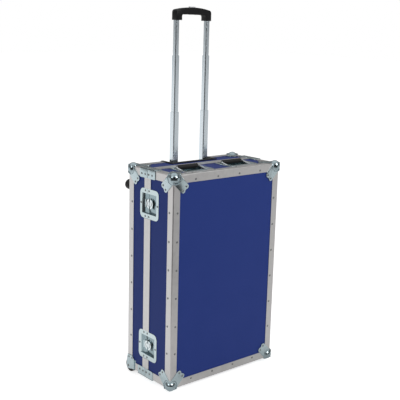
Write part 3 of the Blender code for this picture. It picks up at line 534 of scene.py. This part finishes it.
# %% Finishes on the CAD pieces
finish_of_word = (
    ("panel", laminate),
    ("edging", angle_metal),
    ("closing_profile", angle_metal),
    ("bail", plated_wire),
    ("handle_grip", soft_rubber),
    ("_foot_", soft_rubber),
    ("wheel", tyre_rubber),
    ("housing", moulded_black),
    ("pull_grip", moulded_black),
    ("release_button", moulded_grey),
    ("fixed_tubes", bracket_steel),
    ("tube", drawn_tube),
    ("dish", zinc_with_painted_shade),
    ("_wing", zinc_with_painted_highlight),
    ("_hub", zinc_with_painted_highlight),
    ("", zinc),
)


def first_fit(table, name):
    """What a table holds for the first of its words that is in the name, or None."""
    return next((value for word, value in table if word in name), None)


for name, node in frame["nodes"].items():
    for slot in node.material_slots:
        slot.material = first_fit(finish_of_word, name)
print("Finishes given to", len(frame["nodes"]), "pieces.")

# %% [markdown]
# ## Making small pieces
#
# Everything small is modelled in the case's own measures: right of its middle, back from its front face and
# up from its bottom. A piece could be an object of its own that is moved into place, but the export puts
# every object at the origin. So its place is in its mesh, and it rides on the body that it is fastened to.

# %% Places and pieces
case_size = case_high - case_low
half_width, case_depth, case_height = case_size.x / 2, case_size.y, case_size.z
parting = 0.1485
sharp_corner = radians(35)
forwards, backwards, downwards, upwards = (0, -1, 0), (0, 1, 0), (0, 0, -1), (0, 0, 1)
body_of = {
    node: body for body, nodes in frame["record"]["behaviour"]["bodies"].items() for node in nodes
}


def on_case(right, back, up):
    return Vector((right, case_low.y + back, case_low.z + up))


def middle_of(name):
    """The middle of a CAD piece, in the case's own measures."""
    low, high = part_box(name)
    return (low + high) / 2 - on_case(0, 0, 0)


def settle(shape, name, body, finish, replaced=()):
    """A finished mesh becomes a piece of the case."""
    bmesh.ops.recalc_face_normals(shape, faces=shape.faces)
    mesh = bpy.data.meshes.new(name)
    shape.to_mesh(mesh)
    shape.free()
    mesh.materials.append(finish)
    mesh.shade_smooth()
    mesh.set_sharp_from_angle(angle=sharp_corner)
    made = bpy.data.objects.new(name, mesh)
    bpy.context.scene.collection.objects.link(made)
    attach(made, body)
    if replaced:
        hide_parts(*replaced)
    return made


print("The case is", [round(v, 4) for v in case_size], "m.")

# %% [markdown]
# ## Turned pieces
#
# Feet, wheels, grips and screw heads are round, so they are spun from an outline, as on a lathe. A cylinder
# would be quicker, but it has no soft edges and no hollow. The spin is made upright at the origin, and the
# result is then turned to where it faces and carried to its place.

# %% The lathe
weld_reach = 0.000001


def facing(normal):
    """A turn that carries +Z to the normal."""
    return Vector(normal).to_track_quat("Z", "Y").to_matrix().to_4x4()


def merge(shape, other):
    """Adds a finished mesh to another one."""
    spare = bpy.data.meshes.new("spare")
    other.to_mesh(spare)
    other.free()
    shape.from_mesh(spare)
    bpy.data.meshes.remove(spare)


def add_turned(shape, profile, place, normal, closed=False, steps=48):
    """Adds a turned body, from (radius, height) points. An open profile begins and ends on the axis."""
    body = bmesh.new()
    line = [body.verts.new((radius, 0, height)) for radius, height in profile]
    pairs = list(zip(line, line[1:]))
    if closed:
        pairs.append((line[-1], line[0]))
    edges = [body.edges.new(pair) for pair in pairs]
    bmesh.ops.spin(
        body,
        geom=line + edges,
        cent=(0, 0, 0),
        axis=upwards,
        angle=2 * pi,
        steps=steps,
        use_merge=True,
    )
    bmesh.ops.remove_doubles(body, verts=body.verts, dist=weld_reach)
    bmesh.ops.recalc_face_normals(body, faces=body.faces)
    bmesh.ops.transform(body, matrix=Matrix.Translation(place) @ facing(normal), verts=body.verts)
    merge(shape, body)


def both_sides(half):
    """A closed outline for the lathe: one side's points, then the same points on the other side."""
    return half + [(radius, -height) for radius, height in reversed(half)]


def arc_points(centre, radius, start, end, steps):
    turns = [start + (end - start) * step / steps for step in range(steps + 1)]
    return [(centre[0] + radius * cos(turn), centre[1] + radius * sin(turn)) for turn in turns]


print("The lathe welds points that are within", weld_reach, "m of each other.")

# %% [markdown]
# ## Plates and rivet heads
#
# A plate is cut from sheet: its outline is drawn flat, raised by the sheet's thickness and rounded along its
# upper edge, because real sheet is never sharp there. A rivet head could be turned too, but a sphere squashed
# to a low dome looks the same and has few faces, which counts where there are so many.

# %% Plates and rivet heads
sheet_edge = 0.0006
rivet_radius, rivet_rise = 0.0042, 0.0014


def on_face(corner, across, up, out):
    """Puts a flat drawing on a face: its own x runs across, its y up, and its thickness out."""
    return Matrix.Translation(corner) @ Matrix((across, up, out)).transposed().to_4x4()


def add_plate(shape, outline, thickness, matrix):
    """Adds a flat plate drawn in its own plane, with its upper edge rounded."""
    body = bmesh.new()
    face = body.faces.new([body.verts.new((across, up, 0)) for across, up in outline])
    raised = bmesh.ops.extrude_face_region(body, geom=[face])["geom"]
    top = [v for v in raised if isinstance(v, bmesh.types.BMVert)]
    bmesh.ops.translate(body, verts=top, vec=(0, 0, thickness))
    edges = [e for e in body.edges if all(v.co.z > thickness / 2 for v in e.verts)]
    bmesh.ops.bevel(
        body, geom=edges, offset=sheet_edge, segments=2, profile=0.5, affect="EDGES", material=-1
    )
    bmesh.ops.transform(body, matrix=matrix, verts=body.verts)
    merge(shape, body)


def add_rivet(shape, place, normal, radius=rivet_radius, rise=rivet_rise):
    """Adds a rivet head: a low dome with its rim on the sheet."""
    squash = Matrix.Diagonal((1, 1, rise / radius, 1))
    matrix = Matrix.Translation(place) @ facing(normal) @ squash
    bmesh.ops.create_uvsphere(shape, u_segments=12, v_segments=6, radius=radius, matrix=matrix)


print("A rivet head is", round(2 * rivet_radius, 4), "m across.")

# %% [markdown]
# ## Rivets along the edges
#
# Split rivets about a hand's breadth apart hold the angle to the panels. Only their low heads show. Each
# could be an object of its own, but they never move against their half of the case, so all the rivets of a
# half are gathered in one mesh. The hidden faces repeat the places of the seen ones.

# %% Rivets in the angle
edge_levels = (0.135, 0.2385, 0.3445, 0.4485, 0.552, 0.656)
end_places = (-0.156, -0.052, 0.052, 0.156)
edge_inset = 0.0205
edge_side, edge_back = half_width - edge_inset, case_depth - edge_inset
rivets = {"lid": bmesh.new(), "base": bmesh.new()}


def set_rivets(half, places, normal):
    for place in places:
        add_rivet(rivets[half], on_case(*place), normal)


for level in edge_levels:
    set_rivets("lid", [(-edge_side, 0, level), (edge_side, 0, level)], forwards)
    set_rivets("base", [(-edge_side, case_depth, level), (edge_side, case_depth, level)], backwards)
    for side in (-1, 1):
        set_rivets("lid", [(side * half_width, edge_inset, level)], (side, 0, 0))
        set_rivets("base", [(side * half_width, edge_back, level)], (side, 0, 0))
for across in end_places:
    set_rivets("lid", [(across, 0, edge_inset), (across, 0, case_height - edge_inset)], forwards)
    set_rivets("lid", [(across, edge_inset, 0)], downwards)
    set_rivets("lid", [(across, edge_inset, case_height)], upwards)
    set_rivets("base", [(across, case_depth, edge_inset)], backwards)
    set_rivets("base", [(across, edge_back, 0)], downwards)
print("The edges have", len(edge_levels), "rivets up each side and", len(end_places), "across.")

# %% [markdown]
# ## Rivets in braces and dishes
#
# The braces at the parting and the rims of the dishes are riveted too. All their places could be fixed, but
# how high a latch's rivets sit, and how far across a handle's, follows from the middle of the CAD dish, so
# that they stay on it. They are sunk by a hair's breadth, so that no gap shows under a head.

# %% Rivets in braces and dishes
brace_rows = {"lid": (0.1207, 0.1415), "base": (0.1615, 0.182)}
brace_inset, brace_rivet_rise = 0.0186, 0.0022
for half, rows in brace_rows.items():
    for back in rows:
        for side in (-1, 1):
            face, across = side * (half_width + brace_rivet_rise), side * (half_width - brace_inset)
            pair = [(face, back, level) for level in (brace_inset, case_height - brace_inset)]
            set_rivets(half, pair, (side, 0, 0))
            set_rivets(half, [(across, back, -brace_rivet_rise)], downwards)
            set_rivets(half, [(across, back, case_height + brace_rivet_rise)], upwards)

sunk = 0.0001
latch_rim, latch_reach = half_width - sunk, 0.0472
by_parting = {"lid": 0.1402, "base": 0.1613}
at_dish_end = {"lid": 0.0900, "base": 0.1865}
for end_name in ("lower", "upper"):
    level = middle_of(end_name + "_latch_lid_dish").z
    for half in ("lid", "base"):
        pair = [(-latch_rim, by_parting[half], level + rise) for rise in (-latch_reach, latch_reach)]
        set_rivets(half, pair + [(-latch_rim, at_dish_end[half], level)], (-1, 0, 0))

handle_reach, handle_rows = 0.0635, (0.0450, 0.1150)
for side_name in ("left", "right"):
    middle = middle_of(side_name + "_handle_dish").x
    for across in (middle - handle_reach, middle + handle_reach):
        set_rivets("lid", [(across, back, case_height - sunk) for back in handle_rows], upwards)
print("The dishes and the braces are riveted.")

# %% [markdown]
# ## Rivets in the hinge and the castors
#
# The long hinge has a row of evenly spaced rivets in each leaf. Their levels could be listed, but a first
# level and a step say the same in less. A castor's cup has two rivets on the side of the case. Below them
# the end of its axle shows as a larger and higher head, which is made in the same way.

# %% Rivets in the hinge and the castors
hinge_face, hinge_reach = half_width + 0.0024, 0.0165
hinge_rivets, first_level, level_step = 9, 0.115, 0.070
for step in range(hinge_rivets):
    level = first_level + step * level_step
    set_rivets("lid", [(hinge_face, parting - hinge_reach, level)], (1, 0, 0))
    set_rivets("base", [(hinge_face, parting + hinge_reach, level)], (1, 0, 0))

castor_face, castor_level, castor_rows = half_width + 0.0019, 0.0440, (0.2335, 0.2535)
axle_back, axle_level, axle_radius, axle_rise = 0.2575, 0.0060, 0.0052, 0.0022
for side in (-1, 1):
    set_rivets("base", [(side * castor_face, back, castor_level) for back in castor_rows], (side, 0, 0))
    axle_end = on_case(side * castor_face, axle_back, axle_level)
    add_rivet(rivets["base"], axle_end, (side, 0, 0), axle_radius, axle_rise)
print("The hinge and the castors are riveted.")

# %% [markdown]
# ## Ball corners
#
# A ball corner is pressed from one sheet of steel: a ball over the very corner, a raised collar round it on
# each face, and a leg with two round lobes, each with a rivet. A sheet could be pressed here too, but the
# folds are hard to steer. So the ball is a sphere, and the collar a larger one sliced off above the three
# faces, with the slices sunk a little to leave a rim. What lies within the case is cut away.

# %% The ball and its collar
ball_radius, ball_inset, ball_depth = 0.0205, 0.011, 0.0005
collar_radius, collar_rise = 0.0266, 0.003
rim_steps = ((0.0011, 0.0), (0.0022, 0.0), (0.0007, -0.0016))  # how far in, and how far raised
cut_reach = 0.0000001


def along_axis(axis, length=1):
    vector = Vector((0, 0, 0))
    vector[axis] = length
    return vector


def trim_inside(shape, corner, inward, depth):
    """Cuts away what lies within the case beyond a depth, and closes the cut with three flat faces."""
    level = corner + inward * depth
    for axis in range(3):
        geom = shape.verts[:] + shape.edges[:] + shape.faces[:]
        bmesh.ops.bisect_plane(
            shape, geom=geom, plane_co=level, plane_no=along_axis(axis), dist=cut_reach
        )
    inside = [
        f
        for f in shape.faces
        if all((f.calc_center_median()[a] - level[a]) * inward[a] > 0 for a in range(3))
    ]
    bmesh.ops.delete(shape, geom=inside, context="FACES")
    middle = shape.verts.new(level)
    rim = {v for e in shape.edges if e.is_boundary for v in e.verts}
    for axis in range(3):
        one, two = [a for a in range(3) if a != axis]
        ring = [v for v in rim if abs(v.co[axis] - level[axis]) < 2 * weld_reach]
        ring.sort(
            key=lambda v: atan2(
                (v.co[two] - level[two]) * inward[two], (v.co[one] - level[one]) * inward[one]
            )
        )
        shape.faces.new([middle] + ring)


def ball(middle, radius):
    shape = bmesh.new()
    bmesh.ops.create_icosphere(
        shape, subdivisions=5, radius=radius, matrix=Matrix.Translation(middle)
    )
    return shape


def ball_in_collar(corner, inward):
    middle = corner + inward * ball_inset
    shape = ball(middle, collar_radius)
    for axis in range(3):
        out = along_axis(axis, -inward[axis])
        geom = shape.verts[:] + shape.edges[:] + shape.faces[:]
        cut = bmesh.ops.bisect_plane(
            shape, geom=geom, plane_co=corner + out * collar_rise, plane_no=out, clear_outer=True
        )
        ring = [g for g in cut["geom_cut"] if isinstance(g, bmesh.types.BMEdge)]
        bmesh.ops.edgeloop_fill(shape, edges=ring)
        bmesh.ops.recalc_face_normals(shape, faces=shape.faces)
    flats = sorted(shape.faces, key=lambda f: -f.calc_area())[:3]
    for thickness, depth in rim_steps:
        bmesh.ops.inset_individual(shape, faces=flats, thickness=thickness, depth=depth)
    trim_inside(shape, corner, inward, ball_depth)
    inner = ball(middle, ball_radius)
    trim_inside(inner, corner, inward, ball_depth)
    merge(shape, inner)
    return shape


print("A ball is", round(2 * ball_radius, 4), "m across, in a collar of", round(2 * collar_radius, 4), "m.")

# %% [markdown]
# ## The legs of a ball corner
#
# Each leg runs out along the diagonal of its face and ends in two lobes. It could be joined to the ball, but
# the ball's zinc is painted darker, as painted shade for its dark reflections, and the legs keep the plain
# zinc, so the three of them are a piece of their own. Their roots run in under the collar. The rivets go to
# the mesh of the half that they are in.

# %% The legs, and the six corners
leg_lift, leg_sheet, leg_rivet_rise = 0.0003, 0.0015, 0.0018
lobe_radius, lobe_reach, lobe_spread, root_half = 0.0097, 0.0490, 0.0073, 0.0205
lobe_rivets = ((0.0560, 0.0420), (0.0420, 0.0560))


def leg_outline():
    """Half a leg lies on each side of the diagonal: a straight root, then two round lobes."""
    reach, aside = lobe_reach * sqrt(2), lobe_spread * sqrt(2)
    slant = atan2(aside + lobe_radius - root_half, reach - root_half)
    outline = [(root_half, root_half), (root_half, -root_half)]
    outline += arc_points((reach, -aside), lobe_radius, slant - pi / 2, pi / 4, steps=10)
    outline += arc_points((reach, aside), lobe_radius, -pi / 4, pi / 2 - slant, steps=10)
    return outline


def corner_legs(corner, inward, half):
    legs = bmesh.new()
    for axis in range(3):
        one, two = [a for a in range(3) if a != axis]
        across, up = along_axis(one, inward[one]), along_axis(two, inward[two])
        out = along_axis(axis, -inward[axis])
        along, beside = (across + up).normalized(), (up - across).normalized()
        add_plate(legs, leg_outline(), leg_sheet, on_face(corner + out * leg_lift, along, beside, out))
        for first, second in lobe_rivets:
            place = corner + across * first + up * second + out * leg_rivet_rise
            add_rivet(rivets[half], place, out)
    return legs


def ball_corner(name, half, side, depth_end, height_end):
    back, up = (depth_end + 1) / 2 * case_depth, (height_end + 1) / 2 * case_height
    corner = on_case(side * half_width, back, up)
    inward = Vector((-side, -depth_end, -height_end))
    settle(ball_in_collar(corner, inward), "pressed_" + name, half, ball_zinc_painted_dark, (name,))
    settle(corner_legs(corner, inward, half), name + "_legs", half, zinc)


for side_name, side in (("left", -1), ("right", 1)):
    for end_name, end in (("bottom", -1), ("top", 1)):
        ball_corner(f"ball_corner_front_{side_name}_{end_name}", "lid", side, -1, end)
    ball_corner(f"ball_corner_back_{side_name}_top", "base", side, 1, 1)
print("Six ball corners are pressed.")

# %% [markdown]
# ## Braces
#
# Where the closing profile meets the long edges, a folded steel plate with rounded ends ties each half
# together. The CAD holds the same plates as part of the profile, with square ends. They could be cut rounder
# there, but a CAD mesh is left alone, so plates of the right outline lie over them.

# %% Brace plates
brace_near, brace_far, brace_leg = 0.0009, 0.0460, 0.0325
brace_skin, brace_round = 0.0021, 0.0052


def brace_outline():
    """From the folded edge, a little beyond it, to the rounded free end."""
    rounding_level = brace_leg - brace_round
    outline = [(brace_near, -brace_skin), (brace_far, -brace_skin)]
    outline += arc_points((brace_far - brace_round, rounding_level), brace_round, 0, pi / 2, steps=6)
    outline += arc_points((brace_near + brace_round, rounding_level), brace_round, pi / 2, pi, steps=6)
    return outline


for half, away in (("lid", -1), ("base", 1)):
    shape = bmesh.new()
    along = Vector((0, away, 0))
    for side in (-1, 1):
        for end in (-1, 1):
            corner = on_case(side * half_width, parting, (end + 1) / 2 * case_height)
            out, up = Vector((side, 0, 0)), Vector((0, 0, end))
            add_plate(shape, brace_outline(), brace_skin, on_face(corner, along, -up, out))
            add_plate(shape, brace_outline(), brace_skin, on_face(corner, along, -out, up))
    settle(shape, half + "_brace_plates", half, zinc)
print("Eight brace plates are folded.")

# %% [markdown]
# ## Feet
#
# A foot is a rubber stop, wider at its root, with a screw sunk in its middle. A cylinder with bevelled edges
# would do for the outside but not for the sunk screw, so the whole section is turned on the lathe. Its place
# and height come from the CAD foot that it replaces.

# %% Feet
foot_radii = {"back_foot": (0.0205, 0.0185), "front_foot": (0.017, 0.015)}
screw_hollow, screw_depth, foot_edge, edge_share = 0.0082, 0.011, 0.0012, 0.3
foot_screw = (
    (0, 0),
    (0.0062, 0),
    (0.0062, 0.0008),
    (0.0040, 0.0030),
    (0.0018, 0.0036),
    (0.0018, 0.0020),
    (0, 0.0020),
)


def foot(name, out):
    low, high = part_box(name)
    wide, narrow = foot_radii[name[: name.rindex("_")]]
    out = Vector(out)
    axis = 1 if out.y else 2
    start = (low + high) / 2
    start[axis] = low[axis] if out[axis] > 0 else high[axis]
    tall = high[axis] - low[axis]
    bitten = foot_edge * edge_share
    profile = [
        (0, tall - screw_depth),
        (screw_hollow, tall - screw_depth),
        (screw_hollow, tall - foot_edge),
        (screw_hollow + foot_edge, tall),
        (narrow - foot_edge, tall),
        (narrow - bitten, tall - bitten),
        (narrow, tall - foot_edge),
        (wide, foot_edge),
        (wide - bitten, bitten),
        (wide - foot_edge, 0),
        (0, 0),
    ]
    shape = bmesh.new()
    add_turned(shape, profile, start, out)
    settle(shape, "turned_" + name, body_of[name], soft_rubber, (name,))
    screw = bmesh.new()
    add_turned(screw, foot_screw, start + out * (tall - screw_depth), out, steps=24)
    settle(screw, name + "_screw", body_of[name], rivet_steel_painted_dark)


for side_name in ("left", "right"):
    foot("back_foot_" + side_name, backwards)
    foot("front_foot_" + side_name, downwards)
print("Four feet are turned.")

# %% [markdown]
# ## Wheels
#
# A wheel is a hard tyre on a moulded hub. Both are turned from half an outline and its mirror image, because
# a wheel is the same on both sides. They could be one piece with two finishes, but tyre and hub are two
# mouldings, and as two pieces each keeps its own finish. Both roll with the wheel's body.

# %% Wheels
hub_seat, face_sunk = 0.0165, 0.0012
seat_edge = (0.001, 0.0002)
tread_edge = ((0.0035, 0), (0.001, 0.0012), (0, 0.0035))  # below the tread, and in from the side
hub_outline = (  # radius, and in from the side
    (0.0043, 0.001),
    (0.0072, 0.001),
    (0.0084, 0.0032),
    (0.0148, 0.0036),
    (hub_seat, 0.0014),
)


def wheel(side_name):
    name = "wheel_" + side_name
    low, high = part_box(name)
    middle, half, radius = (low + high) / 2, (high.x - low.x) / 2, (high.z - low.z) / 2
    tyre_side = [(hub_seat, half - face_sunk), (hub_seat + seat_edge[0], half - seat_edge[1])]
    tyre_side += [(radius - below, half - sunk) for below, sunk in tread_edge]
    tyre = bmesh.new()
    add_turned(tyre, both_sides(tyre_side), middle, (1, 0, 0), closed=True, steps=64)
    settle(tyre, name + "_tyre", name, tyre_rubber, (name,))
    hub_side = [(out, half - sunk) for out, sunk in hub_outline]
    hub = bmesh.new()
    add_turned(hub, both_sides(hub_side), middle, (1, 0, 0), closed=True)
    settle(hub, name + "_hub", name, moulded_grey)


wheel("left")
wheel("right")
print("Two wheels are turned.")

# %% [markdown]
# ## Softened edges
#
# Pressed, moulded and drawn pieces have no sharp edges, and the thin bright line along an edge is what makes
# them look real. They could be modelled anew, but their CAD shape is right. So the mesh is copied, its flat
# parts are made whole again, and a small bevel rounds what is left.

# %% Softened pieces
edge_of_word = (
    ("lid_dish", 0.0005),
    ("keeper_dish", 0.0005),
    ("_hub", 0.0004),
    ("_wing", 0.0004),
    ("_hook", 0.0004),
    ("handle_dish", 0.0005),
    ("castor", 0.0004),
    ("hinge_", 0.0004),
    ("release_button", 0.0003),
    ("pull_grip", 0.0006),
    ("housing", 0.0007),
)
flat_within = radians(1)


def softened(name, width):
    shape = bmesh.new()
    shape.from_mesh(frame["nodes"][name].data)
    bmesh.ops.remove_doubles(shape, verts=shape.verts, dist=5 * weld_reach)
    bmesh.ops.dissolve_limit(shape, angle_limit=flat_within, verts=shape.verts, edges=shape.edges)
    finish = first_fit(finish_of_word, name)
    made = settle(shape, "soft_" + name, body_of[name], finish, (name,))
    rounding = made.modifiers.new("edge", "BEVEL")
    rounding.width = width
    rounding.segments = 2
    rounding.limit_method = "ANGLE"
    rounding.angle_limit = sharp_corner
    rounding.use_clamp_overlap = True
    rounding.harden_normals = True


to_soften = {name: first_fit(edge_of_word, name) for name in frame["nodes"]}
to_soften = {name: width for name, width in to_soften.items() if width}
for name, width in to_soften.items():
    softened(name, width)
print(len(to_soften), "pieces have softened edges.")

# %% [markdown]
# ## Grips of the carrying handles
#
# A carrying handle's grip is a moulded sleeve on the bar of the bail, with a steel washer at each end. A
# plain cylinder would look like pipe, so the sleeve is turned with rounded ends and a slight waist. The
# spring that lays the real handle flat again isn't modelled.

# %% Grips and washers
grip_radius, grip_bore, grip_half, grip_soft = 0.0088, 0.0037, 0.0470, 0.0024
waist_shares, waist_narrowing = (0.6, 0.3), 0.0002
washer_radius, washer_sheet, washer_sunk = 0.0062, 0.0008, 0.0002
washer = [(grip_bore, 0), (washer_radius, 0), (washer_radius, washer_sheet), (grip_bore, washer_sheet)]


def grip_sleeve(name):
    low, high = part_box(name)
    middle = (low + high) / 2
    end = arc_points((grip_radius - grip_soft, grip_half - grip_soft), grip_soft, pi / 2, 0, steps=4)
    waist = [(grip_radius, grip_half * waist_shares[0])]
    waist.append((grip_radius - waist_narrowing, grip_half * waist_shares[1]))
    sleeve = bmesh.new()
    outline = both_sides([(grip_bore, grip_half)] + end + waist)
    add_turned(sleeve, outline, middle, (1, 0, 0), closed=True, steps=40)
    settle(sleeve, "moulded_" + name, body_of[name], soft_rubber, (name,))
    washers = bmesh.new()
    for side in (-1, 1):
        face = middle + Vector((side * (grip_half - washer_sunk), 0, 0))
        add_turned(washers, washer, face, (side, 0, 0), closed=True, steps=24)
    settle(washers, name + "_washers", body_of[name], plated_wire)


grip_sleeve("left_handle_grip")
grip_sleeve("right_handle_grip")
print("Two grips are moulded.")

# %% [markdown]
# ## Housing screws
#
# The housing of the pull handle folds over the top edge at the back, and three black screws hold it on each
# face. A flat disc would read as a dot, so a head is turned with a shallow cone and a socket in its middle.

# %% Housing screws
housing_screw = (
    (0, 0),
    (0.0036, 0),
    (0.0036, 0.0005),
    (0.0028, 0.0014),
    (0.0013, 0.0017),
    (0.0011, 0.0009),
    (0, 0.0009),
)
screw_places = (-0.090, 0.0, 0.090)
bezel_rise, screw_back, screw_level = 0.0019, 0.2008, 0.7250
screws = bmesh.new()
for across in screw_places:
    on_top = on_case(across, screw_back, case_height + bezel_rise)
    on_back = on_case(across, case_depth + bezel_rise, screw_level)
    add_turned(screws, housing_screw, on_top, upwards, steps=20)
    add_turned(screws, housing_screw, on_back, backwards, steps=20)
settle(screws, "housing_screws", "base", blackened_steel)
print("Six screws hold the housing.")

# %% [markdown]
# ## The rivets become pieces
#
# Each fitting added its rivets to the mesh of its half. Now that all of them are in, the two meshes become
# two pieces. Done earlier, the rivets of the ball corners would be left out.

# %% Rivet meshes
settle(rivets["lid"], "lid_rivets", "lid", rivet_steel_painted_dark)
settle(rivets["base"], "base_rivets", "base", rivet_steel_painted_dark)
print("The rivets are in.")
